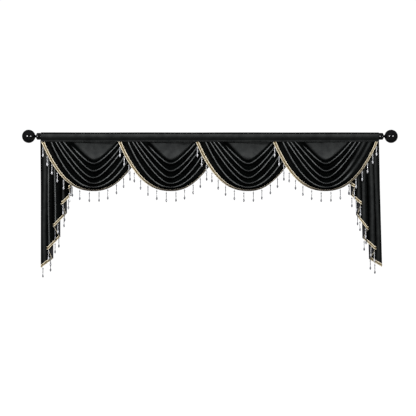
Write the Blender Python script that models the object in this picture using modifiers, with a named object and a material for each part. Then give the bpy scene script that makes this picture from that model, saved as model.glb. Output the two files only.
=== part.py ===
"""Velvet swag valance with two cascade tails, hung by its rod pocket on a curtain pole.

Metres, +Z up. The origin is on the pole's axis at mid length. The room is towards -Y, the wall towards +Y.
Four swags hang from a heading sleeve, each one's left side over the right side of the swag before it.
A pleated tail hangs behind each end. Braid with hanging bead strands runs along every hem.
"""

import math
from collections import namedtuple

import bmesh
import bpy
from mathutils import Vector
from mathutils.bvhtree import BVHTree

# Pole and finials
POLE_RADIUS = 0.0235
POLE_HALF_LENGTH = 1.266
COLLAR_RADIUS = 0.0255
COLLAR_LENGTH = 0.031
COLLAR_START = 1.250
NECK_RADIUS = 0.0095
NECK_LENGTH = 0.008
BALL_RADIUS = 0.049
ROUND_STEPS = 18
COLLAR_SHOULDER = 0.010
COLLAR_SHOULDER_STEPS = 4
BALL_ARC_STEPS = 11
SHARP_ANGLE = math.radians(40)
PIECE_GAP = 0.0003

# Cloth and heading sleeve
CLOTH = 0.0016
SLEEVE_HALF_LENGTH = 1.246
SLEEVE_RADIUS = 0.0283
SLEEVE_FOOT_Y = 0.0165
SLEEVE_FOOT_Z = -0.040
SLEEVE_WAVE = 0.0007
SLEEVE_LONG_WAVE = 9.0
SLEEVE_SHORT_WAVE = 23.0
SLEEVE_COLUMNS = 14
SLEEVE_ARC_STEPS = 10
CLOTH_TOP_Z = -0.030

# Layers: how far in front of the pole's axis plane a covering side hangs, and how far behind it a covered one
LAYER_AT_HEADING = 0.0065
LAYER_BELOW = 0.0135
LAYER_DEPTH = 0.05
LAYER_REACH = 0.5

# Swags
SWAG_COLUMNS = 22
SWAG_CROWDING = 0.25
SWAG_HALF_SPAN = 0.385
Swag = namedtuple("Swag", "name axis_x left_layer right_layer right_relief right_tuck")
SWAGS = (
    Swag("swag_1", -0.856, -1, 1, 1.0, 1.0),
    Swag("swag_2", -0.289, -1, 1, 1.0, 1.0),
    Swag("swag_3", 0.282, -1, 1, 1.0, 1.0),
    Swag("swag_4", 0.851, -1, -1, 0.7, 0.0),
)

# One row for each crest or hollow that runs across a swag, from the hem up. Spans are at the heading, from
# the swag's axis, and each power says how the line climbs to that side. Drop is from the cloth's top; forward
# is at the axis, and pressed is at the heading.
Line = namedtuple("Line", "name left_span left_power right_span right_power drop forward pressed")
SWAG_LINES = (
    Line("hem", 0.387, 2.55, 0.388, 2.45, 0.371, 0.0160, 0.0000),
    Line("braid top", 0.368, 2.42, 0.374, 2.40, 0.363, 0.0325, 0.0005),
    Line("under crest A", 0.344, 2.20, 0.357, 2.15, 0.355, 0.0450, 0.0000),
    Line("crest A", 0.318, 2.08, 0.335, 2.00, 0.347, 0.0560, 0.0035),
    Line("hollow A-B", 0.303, 1.70, 0.312, 1.92, 0.333, 0.0340, 0.0000),
    Line("crest B", 0.287, 1.35, 0.292, 1.80, 0.318, 0.0520, 0.0035),
    Line("hollow B-C", 0.276, 1.30, 0.277, 1.50, 0.296, 0.0250, 0.0000),
    Line("crest C", 0.262, 1.25, 0.262, 1.25, 0.276, 0.0450, 0.0035),
    Line("hollow C-D", 0.247, 1.12, 0.246, 1.32, 0.250, 0.0160, 0.0000),
    Line("crest D", 0.232, 1.02, 0.230, 1.40, 0.226, 0.0360, 0.0035),
    Line("hollow D-E", 0.216, 1.08, 0.214, 1.28, 0.196, 0.0080, 0.0000),
    Line("crest E", 0.200, 1.15, 0.200, 1.20, 0.171, 0.0260, 0.0035),
    Line("hollow at flat", 0.168, 1.12, 0.182, 1.18, 0.147, -0.0020, 0.0000),
    Line("flat edge", 0.142, 1.10, 0.170, 1.14, 0.133, 0.0050, 0.0010),
    Line("flat middle", 0.134, 1.05, 0.162, 1.08, 0.072, 0.0020, 0.0005),
    Line("top edge", 0.126, 1.00, 0.155, 1.00, 0.000, 0.0000, 0.0000),
)
AXIS_ROUNDING = 0.22
BRAID_TOP_LINE = 1
PRESS_POWER = 1.5
PRESS_RELEASE = 3.0
PRESS_RELEASE_DROP = 0.06

# Where the next swag covers this one's right side, the hem turns under: back, and in towards the axis
TUCK_BACK = 0.011
TUCK_IN = 0.010
TUCK_FADE = 2.2

# Tails: one row for each pleat, from the outer edge in. Its face runs from the front fold to the back fold.
Pleat = namedtuple("Pleat", "front_x front_drop back_x back_drop")
Tail = namedtuple("Tail", "name outer_x inward flare pleats")
LEFT_PLEATS = (
    Pleat(-0.007, 0.938, 0.086, 0.872),
    Pleat(0.046, 0.802, 0.138, 0.713),
    Pleat(0.092, 0.632, 0.187, 0.538),
    Pleat(0.152, 0.468, 0.221, 0.403),
    Pleat(0.203, 0.353, 0.243, 0.315),
)
RIGHT_PLEATS = (
    Pleat(-0.004, 0.930, 0.092, 0.877),
    Pleat(0.043, 0.802, 0.136, 0.722),
    Pleat(0.096, 0.655, 0.178, 0.552),
    Pleat(0.140, 0.468, 0.214, 0.404),
    Pleat(0.182, 0.344, 0.244, 0.305),
)
TAILS = (
    Tail("tail_left", -1.2455, 1, 0.000, LEFT_PLEATS),
    Tail("tail_right", 1.2455, -1, 0.026, RIGHT_PLEATS),
)
TAIL_Y_AT_HEADING = 0.0068
TAIL_Y_BELOW = 0.012
PLEAT_DEPTH_AT_HEADING = 0.0060
PLEAT_DEPTH_BELOW = 0.021
TURN_RADIUS_AT_HEADING = 0.0014
TURN_RADIUS_BELOW = 0.0055
PLEAT_OPENING_DROP = 0.40
TAIL_ROWS = (0.0, 0.10, 0.32, 0.62)
FACE_STATIONS = (0.0, 0.25, 0.5, 0.75)
TURN_STATIONS = (0.0, 0.33, 0.67)
RETURN_STATIONS = (0.0, 0.5)

# Braid and bead strands
BRAID_WIDTH = 0.020
BRAID_THICKNESS = 0.0022
BRAID_GAP = 0.0012
BRAID_PAST_HEM = 0.004
STRAND_PITCH = 0.0705
SWAG_STRAND_FIRST = 0.048
TAIL_STRAND_FIRST = 0.020
COVERED_BARE_END = 0.22
STRAND_ROOT_WIDTH = 0.004
STRAND_MARGIN = 0.007
STRAND_ROOM = 0.012
STRAND_SHIFT = 0.005
STRAND_CLEARANCE = 0.002
Ring = namedtuple("Ring", "below half_width")
STRAND_RINGS = (Ring(0.050, 0.0018), Ring(0.072, 0.0048), Ring(0.082, 0.0018))
STRAND_FEELERS = 4
FEELER_START_Y = -0.3


def clear_scene():
    for obj in list(bpy.data.objects):
        bpy.data.objects.remove(obj, do_unlink=True)


def make_material(name, colour, roughness, metallic):
    material = bpy.data.materials.new(name)
    material.use_nodes = True
    shader = material.node_tree.nodes["Principled BSDF"]
    shader.inputs["Base Color"].default_value = (*colour, 1.0)
    shader.inputs["Roughness"].default_value = roughness
    shader.inputs["Metallic"].default_value = metallic
    return material


def make_object(name, bm, material, collection):
    mesh = bpy.data.meshes.new(name)
    bm.to_mesh(mesh)
    bm.free()
    mesh.materials.append(material)
    mesh.shade_smooth()
    obj = bpy.data.objects.new(name, mesh)
    collection.objects.link(obj)
    return obj


def ease(value):
    """0 to 1, level at both ends."""
    value = min(max(value, 0.0), 1.0)
    return value * value * (3.0 - 2.0 * value)


def mix(low, high, share):
    return low + (high - low) * share


def grid_mesh(columns, rows, place):
    """A bmesh grid whose point at (column, row) is put at place(column, row)."""
    bm = bmesh.new()
    bmesh.ops.create_grid(bm, x_segments=columns - 1, y_segments=rows - 1, size=1.0)
    for vert in bm.verts:
        column = round((vert.co.x + 1.0) / 2.0 * (columns - 1))
        row = round((vert.co.y + 1.0) / 2.0 * (rows - 1))
        vert.co = place(column, row)
    return bm


def thicken(obj, thickness, offset):
    """Solidify to a closed sheet. Offset 0 is centred, and 1 lies on the side that the faces look to."""
    solidify = obj.modifiers.new("thickness", "SOLIDIFY")
    solidify.thickness = thickness
    solidify.offset = offset
    return obj


def turned(name, profile, material, collection):
    """A profile of (radius, height) points, from the top down its outer side, turned about the object's Z."""
    bm = bmesh.new()
    verts = [bm.verts.new((radius, 0.0, height)) for radius, height in profile]
    for upper, lower in zip(verts, verts[1:]):
        bm.edges.new((upper, lower))
    obj = make_object(name, bm, material, collection)
    screw = obj.modifiers.new("turn", "SCREW")
    screw.steps = ROUND_STEPS
    screw.render_steps = ROUND_STEPS
    screw.use_merge_vertices = True
    screw.merge_threshold = 0.0001
    screw.use_smooth_shade = True
    return obj


def collar_profile():
    """A cup over the pole's end that rounds in to the neck."""
    bore_radius = (POLE_RADIUS + PIECE_GAP) / math.cos(math.pi / ROUND_STEPS)
    bore_depth = POLE_HALF_LENGTH - COLLAR_START + PIECE_GAP
    profile = [(0.0, COLLAR_LENGTH + NECK_LENGTH), (NECK_RADIUS, COLLAR_LENGTH + NECK_LENGTH)]
    for step in range(COLLAR_SHOULDER_STEPS + 1):
        turn = math.pi / 2 * step / COLLAR_SHOULDER_STEPS
        radius = mix(NECK_RADIUS, COLLAR_RADIUS, math.sin(turn))
        profile.append((radius, COLLAR_LENGTH - COLLAR_SHOULDER * (1.0 - math.cos(turn))))
    profile += [(COLLAR_RADIUS, 0.0), (bore_radius, 0.0), (bore_radius, bore_depth), (0.0, bore_depth)]
    return profile


def ball_profile():
    """A ball with a small flat where it meets the neck, about its own centre."""
    flat_turn = math.pi - math.asin(NECK_RADIUS / BALL_RADIUS)
    profile = []
    for step in range(BALL_ARC_STEPS + 1):
        turn = flat_turn * step / BALL_ARC_STEPS
        profile.append((BALL_RADIUS * math.sin(turn), BALL_RADIUS * math.cos(turn)))
    profile.append((0.0, BALL_RADIUS * math.cos(flat_turn)))
    return profile


def make_pole(material, collection):
    bm = bmesh.new()
    bmesh.ops.create_cone(
        bm,
        cap_ends=True,
        segments=ROUND_STEPS,
        radius1=POLE_RADIUS,
        radius2=POLE_RADIUS,
        depth=2 * POLE_HALF_LENGTH,
    )
    pole = make_object("pole", bm, material, collection)
    pole.rotation_euler = (0.0, math.pi / 2, 0.0)
    pole.data.set_sharp_from_angle(angle=SHARP_ANGLE)


def make_finial(side_name, side, material, collection):
    collar = turned("finial_collar_" + side_name, collar_profile(), material, collection)
    collar.location = (side * COLLAR_START, 0.0, 0.0)
    collar.rotation_euler = (0.0, side * math.pi / 2, 0.0)
    ball = turned("finial_ball_" + side_name, ball_profile(), material, collection)
    flat_to_centre = math.sqrt(BALL_RADIUS**2 - NECK_RADIUS**2)
    reach = COLLAR_START + COLLAR_LENGTH + NECK_LENGTH + PIECE_GAP + flat_to_centre
    ball.location = (side * reach, 0.0, 0.0)
    ball.rotation_euler = (0.0, side * math.pi / 2, 0.0)


def sleeve_section():
    """Middle line of the sleeve in (y, z): front foot, up round the pole, down to the back foot."""
    foot_distance = math.hypot(SLEEVE_FOOT_Y, SLEEVE_FOOT_Z)
    foot_angle = math.atan2(-SLEEVE_FOOT_Z, SLEEVE_FOOT_Y)
    tangent_angle = foot_angle - math.acos(SLEEVE_RADIUS / foot_distance)
    section = [(-SLEEVE_FOOT_Y, SLEEVE_FOOT_Z)]
    for step in range(SLEEVE_ARC_STEPS + 1):
        angle = mix(-tangent_angle, math.pi + tangent_angle, step / SLEEVE_ARC_STEPS)
        section.append((-SLEEVE_RADIUS * math.cos(angle), SLEEVE_RADIUS * math.sin(angle)))
    section.append((SLEEVE_FOOT_Y, SLEEVE_FOOT_Z))
    return section


def make_sleeve(material, collection):
    section = sleeve_section()

    def place(column, row):
        x = mix(-SLEEVE_HALF_LENGTH, SLEEVE_HALF_LENGTH, column / (SLEEVE_COLUMNS - 1))
        y, z = section[row]
        low = ease(z / SLEEVE_FOOT_Z)
        wave = math.sin(SLEEVE_LONG_WAVE * x + row) + low * math.sin(SLEEVE_SHORT_WAVE * x)
        return Vector((x, y, z)) + Vector((0.0, math.copysign(1.0, y), 1.0)) * (wave * SLEEVE_WAVE / 2)

    bm = grid_mesh(SLEEVE_COLUMNS, len(section), place)
    thicken(make_object("heading_sleeve", bm, material, collection), CLOTH, 0.0)


def swag_station(column):
    """-1 at the left end to 1 at the right, with the columns closer together near the ends."""
    even = 2.0 * column / (SWAG_COLUMNS - 1) - 1.0
    return even * (1.0 + SWAG_CROWDING * (1.0 - even * even))


def swag_layer_y(swag, offset_x, drop):
    """The front or back layer that a place on the swag hangs in."""
    spacing = mix(LAYER_AT_HEADING, LAYER_BELOW, ease(drop / LAYER_DEPTH))
    share = ease((offset_x / SWAG_HALF_SPAN / LAYER_REACH + 1.0) / 2.0)
    return spacing * mix(swag.left_layer, swag.right_layer, share)


def climb(station, power):
    """How far up a line is: 0 at the swag's axis, where it turns softly, to 1 at the heading."""

    def height(reach):
        return (reach * reach + AXIS_ROUNDING**2) ** (power / 2)

    return (height(station) - height(0.0)) / (height(1.0) - height(0.0))


def tuck_share(swag, station):
    """How far the hem turns under: fully along the right side, not at the axis or at the heading."""
    return swag.right_tuck * ease(2.0 * station) * ease(TUCK_FADE * (1.0 - station))


def swag_point(swag, line, station):
    """A point on one crest or hollow line of the swag."""
    left = station < 0
    offset_x = station * (line.left_span if left else line.right_span)
    drop = line.drop * (1.0 - climb(station, line.left_power if left else line.right_power))
    gathered = abs(station) ** PRESS_POWER
    pressed = line.pressed * mix(1.0, PRESS_RELEASE, ease(drop / PRESS_RELEASE_DROP))
    relief = swag.right_relief if station > 0 else 1.0
    bulge = line.forward * mix(relief, 1.0, ease(1.0 - 2.0 * abs(station)))
    forward = mix(bulge, pressed, gathered)
    y = swag_layer_y(swag, offset_x, drop) - forward
    if line is SWAG_LINES[0]:
        offset_x -= TUCK_IN * tuck_share(swag, station)
        y += TUCK_BACK * tuck_share(swag, station)
    return Vector((swag.axis_x + offset_x, y, CLOTH_TOP_Z - drop))


def make_swag(swag, material, collection):
    def place(column, row):
        return swag_point(swag, SWAG_LINES[row], swag_station(column))

    bm = grid_mesh(SWAG_COLUMNS, len(SWAG_LINES), place)
    return thicken(make_object(swag.name, bm, material, collection), CLOTH, 0.0)


def swag_hem_edges(swag):
    """The hem and the braid's top edge at each column, left to right."""
    hem = [swag_point(swag, SWAG_LINES[0], swag_station(c)) for c in range(SWAG_COLUMNS)]
    top = [swag_point(swag, SWAG_LINES[BRAID_TOP_LINE], swag_station(c)) for c in range(SWAG_COLUMNS)]
    return hem, top


def tail_sections(tail):
    """The tail's faces, turns and returns in order: (kind, first pleat, second pleat, stations)."""
    sections = []
    for pleat, following in zip(tail.pleats, tail.pleats[1:]):
        sections.append(("face", pleat, pleat, FACE_STATIONS))
        sections.append(("back turn", pleat, pleat, TURN_STATIONS))
        sections.append(("return", pleat, following, RETURN_STATIONS))
        sections.append(("front turn", following, following, TURN_STATIONS))
    last = tail.pleats[-1]
    sections.append(("face", last, last, FACE_STATIONS + (1.0,)))
    return sections


def tail_columns(tail):
    return [
        (kind, first, second, station)
        for kind, first, second, stations in tail_sections(tail)
        for station in stations
    ]


def tail_hem_drop(column):
    kind, first, second, station = column
    if kind == "face":
        return mix(first.front_drop, first.back_drop, station)
    if kind == "return":
        return mix(first.back_drop, second.front_drop, station)
    return first.back_drop if kind == "back turn" else first.front_drop


def tail_plan(column, depth, radius):
    """Distance in from the outer edge, and y about the tail's own plane, of a column of the pleats."""
    kind, first, second, station = column
    if kind == "face":
        start = first.front_x + radius
        end = first.back_x - radius
        return mix(start, end, station), mix(-depth, depth, ease(station))
    if kind == "return":
        start = first.back_x - radius
        end = second.front_x + radius
        return mix(start, end, station), mix(1.0, -1.0, ease(station)) * (depth - 2 * radius)
    turn = math.pi * station
    if kind == "back turn":
        return first.back_x - radius + radius * math.sin(turn), depth - radius + radius * math.cos(turn)
    return first.front_x + radius - radius * math.sin(turn), radius - depth + radius * math.cos(turn)


def tail_point(tail, column, drop):
    opening = ease(drop / PLEAT_OPENING_DROP)
    depth = mix(PLEAT_DEPTH_AT_HEADING, PLEAT_DEPTH_BELOW, opening)
    radius = mix(TURN_RADIUS_AT_HEADING, TURN_RADIUS_BELOW, opening)
    inset, y = tail_plan(column, depth, radius)
    longest = tail.pleats[0].front_drop
    x = tail.outer_x + tail.inward * (inset - tail.flare * drop / longest)
    return Vector((x, mix(TAIL_Y_AT_HEADING, TAIL_Y_BELOW, opening) + y, CLOTH_TOP_Z - drop))


def left_to_right(tail, columns):
    """The columns in the order in which the cloth's velvet side looks to the room."""
    return columns if tail.inward > 0 else columns[::-1]


def make_tail(tail, material, collection):
    columns = left_to_right(tail, tail_columns(tail))
    row_count = len(TAIL_ROWS) + 2

    def place(column, row):
        hem = tail_hem_drop(columns[column])
        if row == 0:
            return tail_point(tail, columns[column], hem)
        if row == 1:
            return tail_point(tail, columns[column], hem - BRAID_WIDTH)
        share = TAIL_ROWS[row_count - 1 - row]
        return tail_point(tail, columns[column], share * hem)

    bm = grid_mesh(len(columns), row_count, place)
    return thicken(make_object(tail.name, bm, material, collection), CLOTH, 0.0)


def tail_hem_edges(tail):
    hem = []
    top = []
    for column in left_to_right(tail, tail_columns(tail)):
        drop = tail_hem_drop(column)
        hem.append(tail_point(tail, column, drop))
        top.append(tail_point(tail, column, drop - BRAID_WIDTH))
    return hem, top


def edge_normals(hem, top):
    """Unit normals of the hem band at each column, towards the velvet side."""
    normals = []
    for i in range(len(hem)):
        before = max(i - 1, 0)
        after = min(i + 1, len(hem) - 1)
        along = hem[after] - hem[before]
        normals.append(along.cross(top[i] - hem[i]).normalized())
    return normals


def lengths_along(points):
    """Distance along the polyline of each of its points."""
    lengths = [0.0]
    for first, second in zip(points, points[1:]):
        lengths.append(lengths[-1] + (second - first).length)
    return lengths


def read_along(values, lengths, where):
    """The value at a distance along the polyline, straight between its points."""
    for i in range(1, len(lengths)):
        if where <= lengths[i] or i == len(lengths) - 1:
            share = (where - lengths[i - 1]) / (lengths[i] - lengths[i - 1])
            return values[i - 1].lerp(values[i], min(max(share, 0.0), 1.0))
    return values[-1]


def onto_stretch(lengths, where):
    """The distance, moved well inside its own straight stretch or else the next long one, or None."""
    for start, end in zip(lengths, lengths[1:]):
        if where < end and end - start > 2 * STRAND_MARGIN:
            return min(max(where, start + STRAND_MARGIN), end - STRAND_MARGIN)
    return None


def crowds(root, other):
    beside = math.hypot(root.x - other.x, root.y - other.y) < STRAND_ROOM
    return beside and abs(root.z - other.z) < STRAND_RINGS[-1].below + STRAND_ROOM


def strand_places(hem, lengths, first, bare_end):
    """Distances along the hem of the strands, a pitch apart, moved on where a root has no room."""
    places = []
    roots = []
    where = first
    while where < lengths[-1] - bare_end:
        place = onto_stretch(lengths, where)
        if place is None:
            break
        root = read_along(hem, lengths, place)
        if any(crowds(root, other) for other in roots):
            where = max(where, place) + STRAND_SHIFT
            continue
        places.append(place)
        roots.append(root)
        where += STRAND_PITCH
    return places


def strip_stops(lengths, places):
    """Distances along the hem where the braid has points: the cloth's columns and each root's sides."""
    stops = set(lengths)
    for place in places:
        stops.add(place - STRAND_ROOT_WIDTH / 2)
        stops.add(place + STRAND_ROOT_WIDTH / 2)
    return sorted(stops)


def front_of(cloths, x, z, half_width):
    """The foremost y of the cloths at (x, z), or None where there is none."""
    foremost = None
    for cloth in cloths:
        for side in (-half_width, 0.0, half_width):
            hit = cloth.ray_cast(Vector((x + side, FEELER_START_Y, z)), Vector((0.0, 1.0, 0.0)))[0]
            if hit is not None and (foremost is None or hit.y < foremost):
                foremost = hit.y
    return foremost


def grow_strand(bm, root, along, normal, cloths):
    """Extrudes one face of the braid's lower rim into a four-sided strand that hangs straight down."""
    across = Vector((along.x, along.y, 0.0)).normalized()
    outward = Vector((across.y, -across.x, 0.0))
    centre = root.calc_center_median()
    signs = [
        (math.copysign(1.0, (v.co - centre).dot(along)), math.copysign(1.0, (v.co - centre).dot(normal)))
        for v in root.verts
    ]
    face = root
    y = centre.y
    last_below = 0.0
    for ring in STRAND_RINGS:
        for feeler in range(1, STRAND_FEELERS + 1):
            below = mix(last_below, ring.below, feeler / STRAND_FEELERS)
            found = front_of(cloths, centre.x, centre.z - below, ring.half_width)
            if found is not None:
                y = min(y, found - STRAND_CLEARANCE - ring.half_width)
        face = bmesh.ops.extrude_discrete_faces(bm, faces=[face])["faces"][0]
        middle = Vector((centre.x, y, centre.z - ring.below))
        for vert, (sign_along, sign_out) in zip(face.verts, signs):
            vert.co = middle + ring.half_width * (sign_along * across + sign_out * outward)
        last_below = ring.below


def make_trim(name, edges, first, bare_end, cloths, material, collection):
    """A braid strip just off the velvet side of the hem band, with bead strands grown from its lower rim."""
    hem, top = edges
    normals = edge_normals(hem, top)
    lengths = lengths_along(hem)
    places = strand_places(hem, lengths, first, bare_end)
    stops = strip_stops(lengths, places)
    lift = CLOTH / 2 + BRAID_GAP

    def place(column, row):
        stop = stops[column]
        low = read_along(hem, lengths, stop)
        high = read_along(top, lengths, stop)
        past = (low - high).normalized() * BRAID_PAST_HEM
        return (high if row else low + past) + read_along(normals, lengths, stop) * lift

    bm = grid_mesh(len(stops), 2, place)
    strip = thicken(make_object(name, bm, material, collection), BRAID_THICKNESS, 1.0)
    bpy.context.view_layer.update()
    graph = bpy.context.evaluated_depsgraph_get()
    solid = bpy.data.meshes.new_from_object(strip.evaluated_get(graph))
    strip.modifiers.clear()
    bm = bmesh.new()
    bm.from_mesh(solid)
    for where in places:
        low = read_along(hem, lengths, where)
        high = read_along(top, lengths, where)
        normal = read_along(normals, lengths, where).normalized()
        along = read_along(hem, lengths, where + STRAND_ROOT_WIDTH / 2) - low
        rim = low + (low - high).normalized() * BRAID_PAST_HEM + normal * (lift + BRAID_THICKNESS / 2)
        root = min(bm.faces, key=lambda face: (face.calc_center_median() - rim).length)
        grow_strand(bm, root, along.normalized(), normal, cloths)
    strip.data.clear_geometry()
    bm.to_mesh(strip.data)
    bm.free()


def surface_of(obj):
    bpy.context.view_layer.update()
    return BVHTree.FromObject(obj, bpy.context.evaluated_depsgraph_get())


def main():
    clear_scene()
    valance = bpy.data.collections.new("velvet_valance")
    bpy.context.scene.collection.children.link(valance)
    black_metal = make_material("pole_black", (0.012, 0.012, 0.013), 0.25, 0.3)
    velvet = make_material("velvet", (0.012, 0.012, 0.013), 0.75, 0.0)
    braid = make_material("braid", (0.45, 0.36, 0.20), 0.6, 0.0)
    make_pole(black_metal, valance)
    for side_name, side in (("left", -1), ("right", 1)):
        make_finial(side_name, side, black_metal, valance)
    make_sleeve(velvet, valance)
    swags = [make_swag(swag, velvet, valance) for swag in SWAGS]
    tails = [make_tail(tail, velvet, valance) for tail in TAILS]
    swag_surfaces = [surface_of(obj) for obj in swags]
    tail_surfaces = [surface_of(obj) for obj in tails]
    for i, swag in enumerate(SWAGS):
        behind = tail_surfaces + swag_surfaces[max(i - 1, 0) : i]
        name = swag.name.replace("swag", "swag_trim")
        bare_end = COVERED_BARE_END if swag.right_layer > 0 else 0.0
        make_trim(name, swag_hem_edges(swag), SWAG_STRAND_FIRST, bare_end, behind, braid, valance)
    for tail in TAILS:
        name = tail.name.replace("tail", "tail_trim")
        make_trim(name, tail_hem_edges(tail), TAIL_STRAND_FIRST, 0.0, [], braid, valance)


main()
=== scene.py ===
"""Looks of a velvet swag valance: fine cloth, braid, bead strands and finish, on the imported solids.

Metres, +Z up, with the pole's axis through the origin. The room is towards -Y, the wall towards +Y.
Each piece has the shape of the solid that it stands for, with rounded crests, creases and sewn detail.
"""

import math
from collections import namedtuple
from functools import partial

import bmesh
import bpy
import numpy as np
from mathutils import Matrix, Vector


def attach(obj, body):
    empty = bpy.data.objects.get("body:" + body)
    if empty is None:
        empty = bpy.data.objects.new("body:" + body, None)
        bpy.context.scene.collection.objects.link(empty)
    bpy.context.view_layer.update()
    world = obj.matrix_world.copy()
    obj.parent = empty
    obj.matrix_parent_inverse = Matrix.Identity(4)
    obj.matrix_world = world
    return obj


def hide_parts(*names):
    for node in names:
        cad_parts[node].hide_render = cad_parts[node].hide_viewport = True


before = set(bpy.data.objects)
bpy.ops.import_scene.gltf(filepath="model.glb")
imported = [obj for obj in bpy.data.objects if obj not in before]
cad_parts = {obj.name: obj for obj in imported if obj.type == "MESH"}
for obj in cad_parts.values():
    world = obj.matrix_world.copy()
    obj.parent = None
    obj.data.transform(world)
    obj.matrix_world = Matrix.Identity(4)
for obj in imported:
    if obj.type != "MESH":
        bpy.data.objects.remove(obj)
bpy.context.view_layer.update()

# Picture: its width in metres at the pole, and the point in its middle
PICTURE_WIDTH = 3.07
PICTURE_CENTRE = Vector((-0.014, 0.0, -0.529))
LENS = 100.0
SENSOR = 36.0
FLOOR_Z = -2.25
FLOOR_SIZE = 16.0

# Soft boxes that look at one point, by degrees round from the front and up from level. Only the two glints
# show in the gloss paint, because the others would put a bright rim on the balls.
LIGHTS_LOOK_AT = Vector((0.0, 0.0, -0.3))
Light = namedtuple("Light", "name azimuth elevation distance width height power in_gloss")
LIGHTS = (
    Light("key", -16.0, 40.0, 6.0, 2.2, 1.4, 460.0, False),
    Light("glint_left", -26.0, 4.0, 7.0, 1.7, 1.2, 190.0, True),
    Light("glint_right", 34.0, 3.0, 6.0, 1.3, 1.0, 110.0, True),
    Light("back_left", 205.0, 30.0, 6.0, 2.0, 1.5, 340.0, False),
    Light("back_right", 150.0, 30.0, 6.0, 2.0, 1.5, 160.0, False),
)
# The world's brightness where it lights the object, and where the camera sees it
WORLD_FILL = 0.04
WORLD_SEEN = 1.05

# Pole and finials, as on the solids
POLE_RADIUS = 0.0235
POLE_HALF_LENGTH = 1.266
COLLAR_RADIUS = 0.0255
COLLAR_LENGTH = 0.031
COLLAR_START = 1.250
COLLAR_SHOULDER = 0.010
NECK_RADIUS = 0.0095
NECK_LENGTH = 0.008
BALL_RADIUS = 0.049
PIECE_GAP = 0.0003
# Finer turning, and how far the sharp edges are taken off
TURNED_STEPS = 72
COLLAR_STEPS = 14
BALL_STEPS = 40
POLE_EDGE = 0.0015
COLLAR_EDGE = 0.0008

# Cloth and heading sleeve, as on the solids
CLOTH = 0.0016
SLEEVE_HALF_LENGTH = 1.246
SLEEVE_RADIUS = 0.0283
SLEEVE_FOOT_Y = 0.0165
SLEEVE_FOOT_Z = -0.040
SLEEVE_WAVE = 0.0007
SLEEVE_LONG_WAVE = 9.0
SLEEVE_SHORT_WAVE = 23.0
SLEEVE_ARC_ROWS = 10
# Finer sleeve cloth, with a sewn line above its foot and puckers beside it
SLEEVE_STATIONS = 260
SLEEVE_SIDE_STEPS = 8
SLEEVE_ARC_STEPS = 30
SEWN_LINE_Z = -0.0335
SEWN_LINE_WIDTH = 0.0016
SEWN_LINE_DEPTH = 0.0007
PUCKER_DEPTH = 0.00035
PUCKER_WAVE = 210.0
PUCKER_SLOW_WAVE = 13.0
# Painted light down the sleeve, by height about the pole's axis: a painted highlight at its foot and below
# its top, darker between, none along its top
SLEEVE_PAINTED_LIGHT_HEIGHTS = (-0.041, -0.036, -0.030, -0.024, -0.012, -0.002, 0.006, 0.0135, 0.0185)
SLEEVE_PAINTED_LIGHTS = (0.20, 0.15, 0.05, 0.025, 0.045, 0.10, 0.14, 0.16, 0.0)
CLOTH_TOP_Z = -0.030
# How far a swag's side lies before or behind the middle plane, at the heading and below it
LAYER_AT_HEADING = 0.0065
LAYER_BELOW = 0.0135
LAYER_DEPTH = 0.05
LAYER_REACH = 0.5

# Swags, as on the solids. A side's layer is -1 where it lies before the cloth beside it, or 1 behind it.
# Relief, tuck and loose are how far the right side's folds stand out, turn under and fall loose; loose only
# changes their painted highlights.
SWAG_CROWDING = 0.25
SWAG_HALF_SPAN = 0.385
Swag = namedtuple("Swag", "name axis_x left_layer right_layer right_relief right_tuck right_loose")
SWAGS = (
    Swag("swag_1", -0.856, -1, 1, 1.0, 1.0, 0.0),
    Swag("swag_2", -0.289, -1, 1, 1.0, 1.0, 0.0),
    Swag("swag_3", 0.282, -1, 1, 1.0, 1.0, 0.0),
    Swag("swag_4", 0.851, -1, -1, 0.7, 0.0, 1.0),
)

# One row for each crest or hollow that runs across a swag, from the hem up. Spans are at the heading, from
# the swag's axis, and each power says how the line climbs to that side. Drop is from the cloth's top; forward
# is at the axis, and pressed is at the heading.
Line = namedtuple("Line", "name left_span left_power right_span right_power drop forward pressed")
SWAG_LINES = (
    Line("hem", 0.387, 2.55, 0.388, 2.45, 0.371, 0.0160, 0.0000),
    Line("braid top", 0.368, 2.42, 0.374, 2.40, 0.363, 0.0325, 0.0005),
    Line("under crest A", 0.344, 2.20, 0.357, 2.15, 0.355, 0.0450, 0.0000),
    Line("crest A", 0.318, 2.08, 0.335, 2.00, 0.347, 0.0560, 0.0035),
    Line("hollow A-B", 0.303, 1.70, 0.312, 1.92, 0.333, 0.0340, 0.0000),
    Line("crest B", 0.287, 1.35, 0.292, 1.80, 0.318, 0.0520, 0.0035),
    Line("hollow B-C", 0.276, 1.30, 0.277, 1.50, 0.296, 0.0250, 0.0000),
    Line("crest C", 0.262, 1.25, 0.262, 1.25, 0.276, 0.0450, 0.0035),
    Line("hollow C-D", 0.247, 1.12, 0.246, 1.32, 0.250, 0.0160, 0.0000),
    Line("crest D", 0.232, 1.02, 0.230, 1.40, 0.226, 0.0360, 0.0035),
    Line("hollow D-E", 0.216, 1.08, 0.214, 1.28, 0.196, 0.0080, 0.0000),
    Line("crest E", 0.200, 1.15, 0.200, 1.20, 0.171, 0.0260, 0.0035),
    Line("hollow at flat", 0.168, 1.12, 0.182, 1.18, 0.147, -0.0020, 0.0000),
    Line("flat edge", 0.142, 1.10, 0.170, 1.14, 0.133, 0.0050, 0.0010),
    Line("flat middle", 0.134, 1.05, 0.162, 1.08, 0.072, 0.0020, 0.0005),
    Line("top edge", 0.126, 1.00, 0.155, 1.00, 0.000, 0.0000, 0.0000),
)
AXIS_ROUNDING = 0.22
PRESS_POWER = 1.5
PRESS_RELEASE = 3.0
PRESS_RELEASE_DROP = 0.06

# Where the next swag covers this one's right side, the hem turns under: back, and in towards the axis
TUCK_BACK = 0.011
TUCK_IN = 0.010
TUCK_RISE = 2.0
TUCK_FADE = 2.2

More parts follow.
